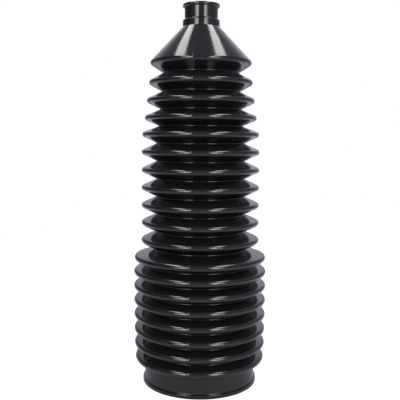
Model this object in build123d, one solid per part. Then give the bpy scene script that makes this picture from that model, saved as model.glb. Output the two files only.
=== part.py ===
"""Rubber bellows boot, moulded in one piece, standing on its wide end.

Origin at the middle of the bottom ring, +Z up the axis to the small end, sizes in mm.
The wall is one revolved section: an outer line of corners and an inner line that follows
it one wall inside, both rounded corner by corner.
"""

import os
from math import acos, cos

from build123d import *

# Large end, clamped round the housing
LARGE_BORE_D = 60.0
LARGE_WALL = 2.1
LARGE_LIP_OUT = 1.0
LARGE_LIP_HEIGHT = 2.1
LARGE_LIP_ROUND = 0.4
LARGE_EDGE_ROUND = 1.0
LARGE_SEAT_WIDTH = 9.0
LARGE_SEAT_ROUND = 1.0

# Small end, clamped round the rod
SMALL_BORE_D = 15.0
SMALL_WALL = 2.1
SMALL_LIP_OUT = 1.05
SMALL_LIP_HEIGHT = 1.6
SMALL_SEAT_WIDTH = 7.0
SMALL_RING_OUT = 1.1
SMALL_RING_HEIGHT = 4.2

# Lower folds, nearly straight, drawn in a little towards the large end
LOWER_FOLDS = 8
LOWER_PITCH = 8.33
LOWER_CREST_R = 42.05
LOWER_ROOT_R = 31.2
LOWER_DRAW_IN = 1.3
LOWER_CREST_ROUND = 1.9
LARGE_FLANK = 3.3

# Upper folds, straight, each a little taller than the one below
UPPER_FOLDS = 7
UPPER_PITCH = 10.07
UPPER_PITCH_GROWTH = 0.06
UPPER_CREST_R = 36.65
UPPER_ROOT_R = 25.4
UPPER_CREST_ROUND = 1.75
SHOULDER_GAP = 10.09
SHOULDER_ROOT_R = 26.7

# Tapered folds under the cone, each a little taller and narrower than the one below
TAPER_FOLDS = 4
TAPER_PITCH = 9.36
TAPER_PITCH_GROWTH = 0.53
TAPER_TOP_CREST_R = 30.2
TAPER_CREST_STEP = 1.66
TAPER_TOP_ROOT_R = 21.7
TAPER_ROOT_STEP = 0.8

# Cone up to the small end
CONE_HEIGHT = 20.9

# Wall of the folds and the cone
WALL = 1.5
ROOT_ROUND = 0.3
END_ROUND = 0.5


def fold_corners():
    """Crests and roots of the folds from the bottom up, each as (radius, height, rounding)."""
    corners = []
    z = LARGE_LIP_HEIGHT + LARGE_SEAT_WIDTH + LARGE_FLANK
    for i in range(LOWER_FOLDS):
        from_top = (LOWER_FOLDS - 1 - i) / (LOWER_FOLDS - 1)
        crest = LOWER_CREST_R - LOWER_DRAW_IN * from_top**3
        corners.append((crest, z, LOWER_CREST_ROUND))
        if i < LOWER_FOLDS - 1:
            corners.append((LOWER_ROOT_R, z + LOWER_PITCH / 2, ROOT_ROUND))
            z += LOWER_PITCH
    corners.append((SHOULDER_ROOT_R, z + SHOULDER_GAP / 2, ROOT_ROUND))
    z += SHOULDER_GAP
    pitch = UPPER_PITCH
    for i in range(UPPER_FOLDS):
        corners.append((UPPER_CREST_R, z, UPPER_CREST_ROUND))
        if i < UPPER_FOLDS - 1:
            corners.append((UPPER_ROOT_R, z + pitch / 2, ROOT_ROUND))
            z += pitch
            pitch += UPPER_PITCH_GROWTH
    pitch = TAPER_PITCH
    for i in range(TAPER_FOLDS):
        from_top = TAPER_FOLDS - 1 - i
        root = TAPER_TOP_ROOT_R + TAPER_ROOT_STEP * from_top
        crest = TAPER_TOP_CREST_R + TAPER_CREST_STEP * from_top
        corners.append((root, z + pitch / 2, ROOT_ROUND))
        z += pitch
        corners.append((crest, z, UPPER_CREST_ROUND))
        pitch += TAPER_PITCH_GROWTH
    return corners


def inset(corners, before, after, wall):
    """The corners moved one wall inwards, square to both of the lines that meet there."""
    line = [before, *corners, after]
    moved = []
    for (r0, z0, _), (r, z, rounding), (r1, z1, _) in zip(line, line[1:], line[2:]):
        a = Vector(r - r0, z - z0).normalized()
        b = Vector(r1 - r, z1 - z).normalized()
        inward = Vector(-a.Y - b.Y, a.X + b.X).normalized()
        reach = wall / cos(acos(max(-1.0, min(1.0, a.dot(b)))) / 2)
        is_crest = a.cross(b).Z > 0
        inner = rounding - wall if is_crest else rounding + wall
        moved.append((r + inward.X * reach, z + inward.Y * reach, max(inner, WALL / 3)))
    return moved


# Heights and radii that the sizes above give
large_bore_r = LARGE_BORE_D / 2
large_seat_r = large_bore_r + LARGE_WALL
large_lip_r = large_seat_r + LARGE_LIP_OUT
large_seat_top = LARGE_LIP_HEIGHT + LARGE_SEAT_WIDTH
small_bore_r = SMALL_BORE_D / 2
small_seat_r = small_bore_r + SMALL_WALL
small_lip_r = small_seat_r + SMALL_LIP_OUT
small_ring_r = small_seat_r + SMALL_RING_OUT

folds = fold_corners()
top_crest_z = folds[-1][1]
ring_bottom = top_crest_z + CONE_HEIGHT
ring_top = ring_bottom + SMALL_RING_HEIGHT
small_lip_bottom = ring_top + SMALL_SEAT_WIDTH
top = small_lip_bottom + SMALL_LIP_HEIGHT

# Outer line, from the bottom edge up
large_end = [
    (large_lip_r, 0.0, LARGE_EDGE_ROUND),
    (large_lip_r, LARGE_LIP_HEIGHT, LARGE_LIP_ROUND),
    (large_seat_r, LARGE_LIP_HEIGHT, LARGE_LIP_ROUND),
    (large_seat_r, large_seat_top, LARGE_SEAT_ROUND),
]
small_end = [
    (small_ring_r, ring_bottom, END_ROUND),
    (small_ring_r, ring_top - END_ROUND, END_ROUND),
    (small_seat_r, ring_top + END_ROUND / 2, END_ROUND / 2),
    (small_seat_r, small_lip_bottom, END_ROUND / 2),
    (small_lip_r, small_lip_bottom, END_ROUND),
    (small_lip_r, top, END_ROUND),
]
outer = large_end + folds + small_end

# Inner line, from the bottom up: the large bore, the folds one wall inside, the small bore
seat_corner = (large_seat_r, large_seat_top, LARGE_SEAT_ROUND)
cone_corner = (small_ring_r, ring_bottom, END_ROUND)
inner_folds = inset(folds, seat_corner, cone_corner, WALL)


def reach(radius, point, a, b):
    """Height where the line through the point, parallel to the one from a to b, has the radius."""
    return point[1] + (radius - point[0]) * (b[1] - a[1]) / (b[0] - a[0])


# The two inner lines beside the bores run parallel to the outer ones
flank_z = reach(large_bore_r, inner_folds[0], folds[0], seat_corner)
cone_z = reach(small_bore_r, inner_folds[-1], folds[-1], cone_corner)
inner = [
    (large_bore_r, 0.0, 0.0),
    (large_bore_r, flank_z, ROOT_ROUND),
    *inner_folds,
    (small_bore_r, cone_z, ROOT_ROUND),
    (small_bore_r, top, 0.0),
]

with BuildPart() as boot:
    with BuildSketch(Plane.XZ):
        with BuildLine():
            start = (large_bore_r, 0.0)
            finish = (small_bore_r, top)
            outer_points = [start] + [(r, z) for r, z, _ in outer] + [finish]
            FilletPolyline(*outer_points, radius=[f for _, _, f in outer])
            inner_points = [(r, z) for r, z, _ in inner]
            FilletPolyline(*inner_points, radius=[f for _, _, f in inner[1:-1]])
        make_face()
    revolve(axis=Axis.Z)

boot.part.label = "bellows_boot"
print("height", top, "volume cm3", boot.part.volume / 1000, "solids", len(boot.part.solids()))

os.makedirs("parts", exist_ok=True)
export_step(boot.part, "parts/bellows_boot.step")
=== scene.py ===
"""Rubber bellows boot standing on its large end in a white studio."""

import math

import bpy
from mathutils import Matrix, Vector


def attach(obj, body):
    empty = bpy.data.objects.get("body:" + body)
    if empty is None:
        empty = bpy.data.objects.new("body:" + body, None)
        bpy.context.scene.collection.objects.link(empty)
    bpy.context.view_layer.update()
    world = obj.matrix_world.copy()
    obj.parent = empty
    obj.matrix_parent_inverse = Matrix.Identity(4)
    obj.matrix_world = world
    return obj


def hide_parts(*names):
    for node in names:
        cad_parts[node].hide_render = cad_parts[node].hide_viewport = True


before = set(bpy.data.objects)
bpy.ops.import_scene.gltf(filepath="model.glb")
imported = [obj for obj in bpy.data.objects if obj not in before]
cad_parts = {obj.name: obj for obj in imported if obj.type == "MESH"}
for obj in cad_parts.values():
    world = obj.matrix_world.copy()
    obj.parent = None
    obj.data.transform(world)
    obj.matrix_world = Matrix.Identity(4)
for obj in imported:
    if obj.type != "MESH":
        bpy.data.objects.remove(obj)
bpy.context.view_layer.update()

# Helpers for node trees. A wire is a socket that can be added, multiplied and compared, so
# that fields and shader values are written as plain arithmetic.


class Wire:
    """One socket of a node tree."""

    def __init__(self, tree, socket):
        self.tree, self.socket = tree, socket

    def compute(self, operation, *values):
        node = self.tree.nodes.new("ShaderNodeMath")
        node.operation = operation
        for slot, value in zip(node.inputs, values):
            join(self.tree, value, slot)
        return Wire(self.tree, node.outputs[0])

    def math(self, operation, *others):
        return self.compute(operation, self, *others)

    def __add__(self, other):
        return self.math("ADD", other)

    def __radd__(self, other):
        return self.compute("ADD", other, self)

    def __sub__(self, other):
        return self.math("SUBTRACT", other)

    def __rsub__(self, other):
        return self.compute("SUBTRACT", other, self)

    def __mul__(self, other):
        return self.math("MULTIPLY", other)

    def __truediv__(self, other):
        return self.math("DIVIDE", other)

    def __pow__(self, other):
        return self.math("POWER", other)

    def at_least(self, other):
        """1 where this is the other value or more, else 0, for whole numbers."""
        return self.math("GREATER_THAN", other - 0.5)

    def between(self, low, high):
        """The value, kept between two limits."""
        return self.math("MAXIMUM", low).math("MINIMUM", high)

    def parts(self):
        """The X, Y and Z of a vector."""
        node = self.tree.nodes.new("ShaderNodeSeparateXYZ")
        join(self.tree, self, node.inputs[0])
        return [Wire(self.tree, socket) for socket in node.outputs]

    def leave(self, kind):
        """Link this to the first socket of the tree's output node."""
        node = self.tree.nodes.new(kind)
        self.tree.links.new(self.socket, node.inputs[0])


def join(tree, value, slot):
    """Link a wire to a socket, or set the socket's value."""
    if isinstance(value, Wire):
        tree.links.new(value.socket, slot)
    else:
        slot.default_value = value


def put(tree, kind, sockets=None, settings=None, out=0):
    """Any node: its type, its sockets' values or links, and its settings, which are set first."""
    node = tree.nodes.new(kind)
    for name, value in (settings or {}).items():
        setattr(node, name, value)
    for name, value in (sockets or {}).items():
        join(tree, value, node.inputs[name])
    return Wire(tree, node.outputs[out])


def pick(test, no, yes):
    """The second value where the test is 0, the third where it is 1."""
    return no + test * (yes - no)


def empty_tree(owner):
    """The node tree of a material or a world, switched on and emptied."""
    owner.use_nodes = True
    owner.node_tree.nodes.clear()
    return owner.node_tree


# The moulded boot: one piece of glossy black rubber, blown or pressed in a two-part mould.
# A lip and clamp seat at each end, a cone, and three groups of folds with their own pitch.
# The two mould halves meet in a fine raised line down the front and the back.

MM = 0.001

BOOT_SIZES = {
    "Lower Folds": 8,
    "Lower Pitch": 8.33 * MM,
    "Lower Crest Radius": 42.05 * MM,
    "Lower Root Radius": 31.2 * MM,
    "Lower Draw In": 1.3 * MM,
    "Lower Crest Round": 1.9 * MM,
    "Shoulder Gap": 10.09 * MM,
    "Shoulder Root Radius": 26.7 * MM,
    "Upper Folds": 7,
    "Upper Pitch": 10.07 * MM,
    "Upper Growth": 0.06 * MM,
    "Upper Crest Radius": 36.65 * MM,
    "Upper Root Radius": 25.4 * MM,
    "Upper Crest Round": 1.75 * MM,
    "Taper Folds": 4,
    "Taper Pitch": 9.36 * MM,
    "Taper Growth": 0.53 * MM,
    "Top Crest Radius": 30.2 * MM,
    "Taper Crest Step": 1.66 * MM,
    "Top Root Radius": 21.7 * MM,
    "Taper Root Step": 0.8 * MM,
    "Root Round": 0.3 * MM,
    "Wall": 1.5 * MM,
    "First Crest": 14.4 * MM,
    "Cone Height": 20.9 * MM,
    "Large Bore": 30.0 * MM,
    "Small Bore": 7.5 * MM,
    "Sides": 240,
    "Seam Angle": math.radians(-8.5),
    "Seam Height": 0.055 * MM,
    "Seam Width": 0.22 * MM,
}

# Corners of the two ends, each as (radius, height, rounding) in mm. The large end's heights
# start at the bottom edge and the small end's at the top of the cone.
LARGE_END = [
    (33.1, 0.0, 1.0),
    (33.1, 2.1, 0.4),
    (32.1, 2.1, 0.4),
    (32.1, 11.1, 1.0),
]
SMALL_END = [
    (10.7, 0.0, 0.5),
    (10.7, 3.7, 0.5),
    (9.6, 4.45, 0.25),
    (9.6, 11.2, 0.25),
    (10.65, 11.2, 0.5),
    (10.65, 12.8, 0.5),
]

# How finely the section is rounded and turned
OUTER_STEPS = 5
INNER_STEPS = 2
SEAM_CROWDING = 0.43
BORE_MARGIN = 0.3 * MM
MERGE_DISTANCE = 1e-6

RUBBER_COLOUR = (0.0062, 0.0058, 0.0068, 1.0)
RUBBER_IOR = 1.5


def crest_height(size, k):
    """Height of crest k, counted from 0 at the bottom."""
    lower, upper = size["Lower Folds"], size["Upper Folds"]
    in_lower = k.math("MINIMUM", lower - 1) * size["Lower Pitch"]
    shoulder = k.at_least(lower) * size["Shoulder Gap"]
    n = (k - lower).between(0, upper - 1)
    in_upper = n * size["Upper Pitch"] + n * (n - 1) * size["Upper Growth"] * 0.5
    m = (k - (lower + upper - 1)).math("MAXIMUM", 0)
    in_taper = m * size["Taper Pitch"] + m * (m - 1) * size["Taper Growth"] * 0.5
    return size["First Crest"] + in_lower + shoulder + in_upper + in_taper


def fold_corner(size, last, j):
    """Radius, height and rounding of corner j of the folds, where crests are even, roots odd."""
    lower, upper = size["Lower Folds"], size["Upper Folds"]
    k = (j * 0.5 + 0.01).math("FLOOR")
    is_root = (j - k * 2).between(0, 1)
    above_lower = k.at_least(lower)

    draw_in = size["Lower Draw In"] * ((lower - 1 - k) / (lower - 1)).math("MAXIMUM", 0) ** 3
    crest = pick(above_lower, size["Lower Crest Radius"] - draw_in, size["Upper Crest Radius"])
    taper_crest = size["Top Crest Radius"] + size["Taper Crest Step"] * (last - k)
    crest = pick(k.at_least(lower + upper), crest, taper_crest)

    root = pick(k.at_least(lower - 1), size["Lower Root Radius"], size["Shoulder Root Radius"])
    root = pick(above_lower, root, size["Upper Root Radius"])
    taper_root = size["Top Root Radius"] + size["Taper Root Step"] * (last - 1 - k)
    root = pick(k.at_least(lower + upper - 1), root, taper_root)

    crest_z = crest_height(size, k)
    root_z = (crest_z + crest_height(size, k + 1)) * 0.5
    crest_round = pick(above_lower, size["Lower Crest Round"], size["Upper Crest Round"])
    return [
        pick(is_root, crest, root),
        pick(is_root, crest_z, root_z),
        pick(is_root, crest_round, size["Root Round"]),
    ]


def listed(values, which):
    """One of a few plain values in mm, chosen by the point's place in its end."""
    chooser = which.tree.nodes.new("GeometryNodeIndexSwitch")
    chooser.data_type = "FLOAT"
    while len(chooser.index_switch_items) < len(values):
        chooser.index_switch_items.new()
    join(which.tree, which.between(0, len(values) - 1), chooser.inputs[0])
    for slot, value in zip(list(chooser.inputs)[1:], values):
        slot.default_value = value * MM
    return Wire(which.tree, chooser.outputs[0])


def section_corner(size, last, cone_top, index):
    """Radius, height and rounding of a corner of the section, counted from the bottom edge."""
    first_fold = len(LARGE_END)
    first_top = last * 2 + 1 + first_fold
    large = [listed(column, index) for column in zip(*LARGE_END)]
    folds = fold_corner(size, last, index - first_fold)
    small = [listed(column, index - first_top) for column in zip(*SMALL_END)]
    small[1] = small[1] + cone_top
    in_folds, at_top = index.at_least(first_fold), index.at_least(first_top)
    return [pick(at_top, pick(in_folds, low, fold), high)
            for low, fold, high in zip(large, folds, small)]


def inset(curve, size, cone_top):
    """The inner line: one wall inside the outer one, and straight in the two bores."""
    tree = curve.tree
    t_x, _, t_z = put(tree, "GeometryNodeInputTangent").parts()
    x, _, z = put(tree, "GeometryNodeInputPosition").parts()
    seat_top = LARGE_END[-1][1] * MM
    in_large = 1 - z.math("GREATER_THAN", seat_top + BORE_MARGIN)
    in_small = z.math("GREATER_THAN", cone_top)
    straight = in_large + in_small
    bore = pick(in_small, size["Large Bore"], size["Small Bore"])
    place = put(tree, "ShaderNodeCombineXYZ", {
        "X": pick(straight, x - t_z * size["Wall"], bore),
        "Z": pick(straight, z + t_x * size["Wall"], z)})
    return put(tree, "GeometryNodeSetPosition", {"Geometry": curve, "Position": place})


def turn_round(outer, inner, size):
    """A sheet whose points are the two lines turned round the axis, with the parting lines."""
    tree = outer.tree
    here = put(tree, "GeometryNodeInputPosition")

    def points_of(curve):
        return put(tree, "GeometryNodeAttributeDomainSize",
                   {"Geometry": curve}, {"component": "CURVE"})

    def sampled(curve, which):
        return put(tree, "GeometryNodeSampleIndex",
                   {"Geometry": curve, "Value": here, "Index": which},
                   {"data_type": "FLOAT_VECTOR", "domain": "POINT", "clamp": True})

    outer_points = points_of(outer)
    around = outer_points + points_of(inner)
    sheet = put(tree, "GeometryNodeMeshGrid",
                {"Vertices X": size["Sides"] + 1, "Vertices Y": around + 1})
    index = put(tree, "GeometryNodeInputIndex")
    column = ((index + 0.5) / (around + 1)).math("FLOOR")
    row = index - column * (around + 1)
    row = row - row.at_least(around) * around

    on_inner = row.at_least(outer_points)
    chosen = put(tree, "ShaderNodeMix",
                 {0: on_inner, 4: sampled(outer, row), 5: sampled(inner, around - 1 - row)},
                 {"data_type": "VECTOR"}, out=1)
    r, _, z = chosen.parts()

    # Points crowd towards the two parting lines, where the mould halves leave a fine ridge
    turn = column / size["Sides"] * math.tau
    angle = turn - (turn * 2).math("SINE") * SEAM_CROWDING
    off_seam = (angle.math("SINE") * r / size["Seam Width"]) ** 2
    r = r + (off_seam * -1).math("EXPONENT") * size["Seam Height"] * (1 - on_inner)
    bearing = angle + size["Seam Angle"]
    place = put(tree, "ShaderNodeCombineXYZ", {
        "X": bearing.math("SINE") * r, "Y": bearing.math("COSINE") * r * -1, "Z": z})
    return put(tree, "GeometryNodeSetPosition", {"Geometry": sheet, "Position": place})


def boot_tree(material):
    """Node tree that lays out the corners of the section, rounds them and turns the section."""
    tree = bpy.data.node_groups.new("turned_boot", "GeometryNodeTree")
    tree.interface.new_socket("Mesh", in_out="OUTPUT", socket_type="NodeSocketGeometry")
    for name, value in BOOT_SIZES.items():
        kind = "NodeSocketInt" if isinstance(value, int) else "NodeSocketFloat"
        tree.interface.new_socket(name, in_out="INPUT", socket_type=kind)
    entry = tree.nodes.new("NodeGroupInput")
    size = {s.name: Wire(tree, s) for s in entry.outputs if s.name}

    last = size["Lower Folds"] + size["Upper Folds"] + size["Taper Folds"] - 1
    count = last * 2 + 1 + len(LARGE_END) + len(SMALL_END)
    cone_top = crest_height(size, last) + size["Cone Height"]
    index = put(tree, "GeometryNodeInputIndex")
    radius, height, rounding = section_corner(size, last, cone_top, index)

    def section(steps):
        """The outer line of the wall, with each corner rounded in so many steps."""
        line = put(tree, "GeometryNodeMeshLine", {"Count": count})
        place = put(tree, "ShaderNodeCombineXYZ", {"X": radius, "Z": height})
        line = put(tree, "GeometryNodeSetPosition", {"Geometry": line, "Position": place})
        line = put(tree, "GeometryNodeMeshToCurve", {"Mesh": line})
        return put(tree, "GeometryNodeFilletCurve",
                   {"Curve": line, "Count": steps, "Radius": rounding, "Limit Radius": True},
                   {"mode": "POLY"})

    inner = inset(section(INNER_STEPS), size, cone_top)
    skin = turn_round(section(OUTER_STEPS), inner, size)
    skin = put(tree, "GeometryNodeMergeByDistance", {"Geometry": skin, "Distance": MERGE_DISTANCE})
    skin = put(tree, "GeometryNodeSetShadeSmooth", {"Geometry": skin})
    skin = put(tree, "GeometryNodeRealizeInstances", {"Geometry": skin})
    skin = put(tree, "GeometryNodeSetMaterial", {"Geometry": skin, "Material": material})
    skin.leave("NodeGroupOutput")
    return tree


def glossy_rubber():
    """Moulded black rubber: a smooth skin with faint waves, fine grain and dull patches."""
    material = bpy.data.materials.new("glossy_rubber")
    tree = empty_tree(material)
    place = put(tree, "ShaderNodeTexCoord", out=3)

    def noise(scale, detail):
        return put(tree, "ShaderNodeTexNoise", {"Vector": place, "Scale": scale, "Detail": detail})

    patches, waves, grain = noise(60.0, 3.0), noise(160.0, 2.0), noise(1400.0, 2.0)
    rough = 0.09 + patches * 0.05 + grain * 0.03
    bump = put(tree, "ShaderNodeBump", {"Strength": 0.06, "Distance": 0.6 * MM, "Height": waves})
    bump = put(tree, "ShaderNodeBump", {
        "Strength": 0.04, "Distance": 0.2 * MM, "Height": grain, "Normal": bump})
    skin = put(tree, "ShaderNodeBsdfPrincipled", {
        "Base Color": RUBBER_COLOUR, "Roughness": rough, "Normal": bump, "IOR": RUBBER_IOR})
    skin.leave("ShaderNodeOutputMaterial")
    return material


holder = bpy.data.objects.new("boot_maker", bpy.data.meshes.new("boot_maker"))
bpy.context.scene.collection.objects.link(holder)
maker = holder.modifiers.new("turned_boot", "NODES")
maker.node_group = boot_tree(glossy_rubber())
for item in maker.node_group.interface.items_tree:
    if item.in_out == "INPUT":
        maker[item.identifier] = BOOT_SIZES[item.name]
graph = bpy.context.evaluated_depsgraph_get()
boot_mesh = bpy.data.meshes.new_from_object(holder.evaluated_get(graph))
bpy.data.objects.remove(holder)
boot = bpy.data.objects.new("bellows_boot_skin", boot_mesh)
bpy.context.scene.collection.objects.link(boot)
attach(boot, "root")
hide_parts("bellows_boot")


# The white studio round the boot, which is a table and a room. Both are white to the camera
# and to rays that pass through something. The gloss sees them much darker and a little blue,
# brighter where they show in the sides of the folds and the cone.

WHITE = (1.0, 1.0, 1.0, 1.0)

TABLE_RADIUS = 0.6
TABLE_SIDES = 96
TABLE_COLOUR = (0.62, 0.62, 0.66, 1.0)
TABLE_TINT = (0.9, 0.88, 1.0, 1.0)
TABLE_GLOW = 0.8
TABLE_GLOSS = 0.03
TABLE_GLOSS_RIGHT = 0.11
TABLE_GLOSS_FAR = 0.5

ROOM_TINT = (0.86, 0.85, 1.0, 1.0)
ROOM_GLOSS = 0.13
CEILING_GLOSS = 0.25
RIGHT_WALL_GLOSS = 0.28
FRONT_WALL_GLOSS = 0.4
FRONT_WALL_FALL = 0.3
BELOW_GLOSS = 0.5


def rays(tree):
    """1 for the rays that show white, and 1 for the rays of the gloss."""
    path = tree.nodes.new("ShaderNodeLightPath")
    camera_ray, through, gloss = (
        Wire(tree, path.outputs[name])
        for name in ("Is Camera Ray", "Is Transmission Ray", "Is Glossy Ray"))
    return camera_ray + through, gloss


def white_or(tint, seen):
    """White where it is seen, and the tint elsewhere."""
    return put(seen.tree, "ShaderNodeMix", {0: seen, 6: tint, 7: WHITE},
               {"data_type": "RGBA"}, out=2)


def white_table():
    """Matt table that keeps the boot's soft shadow."""
    material = bpy.data.materials.new("white_table")
    tree = empty_tree(material)
    seen, glossy = rays(tree)
    x, y, _ = put(tree, "ShaderNodeTexCoord", out=3).parts()
    right = (x * 6 + 0.5).between(0.0, 1.0)
    far = (y * 8).between(0.0, 1.0)
    in_gloss = far * TABLE_GLOSS_FAR + right * TABLE_GLOSS_RIGHT + TABLE_GLOSS
    matt = put(tree, "ShaderNodeBsdfDiffuse", {"Color": TABLE_COLOUR})
    glow = put(tree, "ShaderNodeEmission", {
        "Color": white_or(TABLE_TINT, seen), "Strength": seen * TABLE_GLOW + glossy * in_gloss})
    both = put(tree, "ShaderNodeAddShader", {0: matt, 1: glow})
    both.leave("ShaderNodeOutputMaterial")
    return material


def white_room():
    """World that gives no light of its own to matt surfaces."""
    room = bpy.data.worlds.new("white_room")
    tree = empty_tree(room)
    seen, glossy = rays(tree)
    right, behind, up = put(tree, "ShaderNodeTexCoord").parts()

    # The backdrop behind the boot fades to the sides, sooner on the left, and is brighter above
    low_left = right.between(-1.0, 0.0) * (1 - up * 2).between(0.0, 1.0)
    fade = (1.7 - right.math("ABSOLUTE") * 2 + low_left).between(0.2, 1.0)
    brighter_up = (up * 2.2 + 0.2).between(0.45, 1.3)
    backdrop = (behind * 1.8 - 0.5).between(0.0, 1.0) * fade * brighter_up

    right_wall = (right * 1.5 - 0.3).between(0.0, 1.0) * RIGHT_WALL_GLOSS
    front_wall = (behind * -1.4).between(0.0, 1.0) * (
        FRONT_WALL_GLOSS - up.between(0.0, 1.0) * FRONT_WALL_FALL)
    ceiling = (up * 3 - 2).between(0.0, 1.0) * CEILING_GLOSS
    walls = ROOM_GLOSS + front_wall + ceiling + backdrop + right_wall
    below = (up * 8.0).between(-1.0, 0.0) * -1
    in_gloss = pick(below, walls, BELOW_GLOSS)
    sky = put(tree, "ShaderNodeBackground", {
        "Color": white_or(ROOM_TINT, seen), "Strength": seen + in_gloss * glossy})
    sky.leave("ShaderNodeOutputWorld")
    return room


table_mesh = bpy.data.meshes.new("table")
rim_angles = [math.tau * i / TABLE_SIDES for i in range(TABLE_SIDES)]
rim = [(TABLE_RADIUS * math.cos(a), TABLE_RADIUS * math.sin(a), 0) for a in rim_angles]
table_mesh.from_pydata(rim, [], [tuple(range(TABLE_SIDES))])
table_mesh.materials.append(white_table())
table = bpy.data.objects.new("table", table_mesh)
bpy.context.scene.collection.objects.link(table)
bpy.context.scene.world = white_room()


# Soft boxes on each side of the camera. Two stand in front of the boot, the inner one brighter,
# and light the crests of the folds. One hangs over it and lights the cone. Between the two
# sides a dark gap runs down the middle of the boot.

AIM = Vector((0.0, 0.0, 0.11))


def soft_box(name, place, long_way, size, brightness):
    """A lamp that faces the boot, with its long side turned as given."""
    width, length = size
    lamp = bpy.data.lights.new(name, "AREA")
    lamp.shape = "RECTANGLE"
    lamp.size, lamp.size_y = size
    lamp.energy = brightness * math.pi * width * length
    box = bpy.data.objects.new(name, lamp)
    bpy.context.scene.collection.objects.link(box)
    back = (Vector(place) - AIM).normalized()
    across = Vector(long_way).cross(back).normalized()
    turned = Matrix((across, back.cross(across), back)).transposed().to_4x4()
    box.matrix_world = Matrix.Translation(place) @ turned
    box.visible_camera = False


HALF_GAP = 0.09
for side, front, over in (("left", -0.53, -0.47), ("right", 0.51, 0.43)):
    inward = -math.copysign(1.0, front)
    upright, lying = (inward * 0.05, 0, 1), (inward * 0.14, 1, 0)
    inner_place = (front + inward * HALF_GAP, -0.87, 0.4)
    outer_place = (front - inward * HALF_GAP, -0.8, 0.4)
    soft_box("front_" + side, inner_place, upright, (0.2, 0.7), 9.0)
    soft_box("edge_" + side, outer_place, upright, (0.18, 0.7), 4.0)
    soft_box("over_" + side, (over, 0.05, 1.15), lying, (0.22, 1.3), 8.0)


# Camera a little above the middle of the boot, tipped down by three and a half degrees.
# Its focal length is in pixels of the square picture, and its angles are in degrees.

PICTURE_PIXELS = 400
FOCAL_PIXELS = 626.1
SENSOR_WIDTH = 36.0
TIP_DOWN = 3.46
ROLL = 0.35

lens_data = bpy.data.cameras.new("camera")
lens_data.sensor_width = SENSOR_WIDTH
lens_data.lens = SENSOR_WIDTH * FOCAL_PIXELS / PICTURE_PIXELS
lens_data.shift_y = -0.06
lens_data.clip_start = 0.01
camera = bpy.data.objects.new("camera", lens_data)
bpy.context.scene.collection.objects.link(camera)
camera.location = (-0.00023, -0.3654, 0.1419)
tip = Matrix.Rotation(math.radians(90.0 - TIP_DOWN), 3, "X")
roll = Matrix.Rotation(math.radians(ROLL), 3, "Z")
camera.rotation_mode = "QUATERNION"
camera.rotation_quaternion = (tip @ roll).to_quaternion()
bpy.context.scene.camera = camera

bpy.context.scene.view_settings.view_transform = "Standard"
